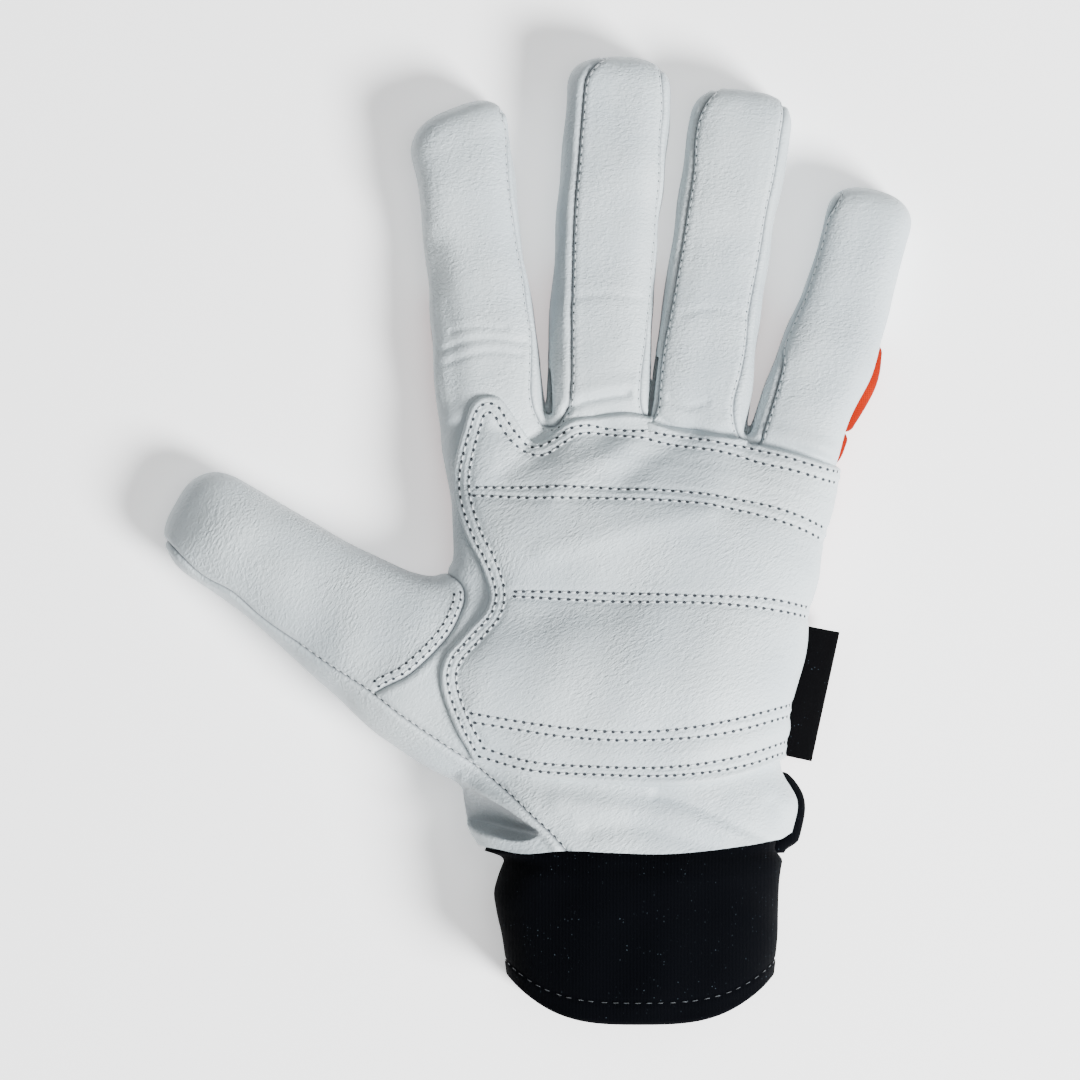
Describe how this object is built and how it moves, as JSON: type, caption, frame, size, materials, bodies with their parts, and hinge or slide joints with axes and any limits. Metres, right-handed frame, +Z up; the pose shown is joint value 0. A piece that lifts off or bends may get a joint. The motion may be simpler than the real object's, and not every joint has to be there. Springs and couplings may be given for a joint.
{
  "type": "chainsaw glove",
  "caption": "Left-hand leather work glove with a stitched palm pad, high-visibility fabric back and a black knitted cuff, lying palm up.",
  "frame": {"origin": "middle of the bounding box's underside, on the surface that the glove lies on", "axes": "+X from the thumb to the little finger, +Y from the cuff to the fingertips, +Z up out of the palm"},
  "size_m": [0.2, 0.2592, 0.037],
  "materials": {
    "white_leather": "matte grained",
    "orange_fabric": "matte woven",
    "black_knit": "matte knitted",
    "woven_label": "matte woven"
  },
  "bodies": {
    "root": {"palm_leather": "white_leather", "thumb_front": "white_leather", "thumb_back": "white_leather", "palm_pad": "white_leather", "finger_back_index": "white_leather", "finger_back_middle": "white_leather", "finger_back_ring": "white_leather", "finger_back_little": "white_leather", "fourchette_index_middle": "white_leather", "fourchette_middle_ring": "white_leather", "fourchette_ring_little": "white_leather", "back_fabric": "orange_fabric", "finger_guard_index": "orange_fabric", "finger_guard_middle": "orange_fabric", "finger_guard_ring": "orange_fabric", "finger_guard_little": "orange_fabric", "wrist_panel": "black_knit", "cuff": "black_knit", "side_label": "woven_label"}
  },
  "joints": []
}
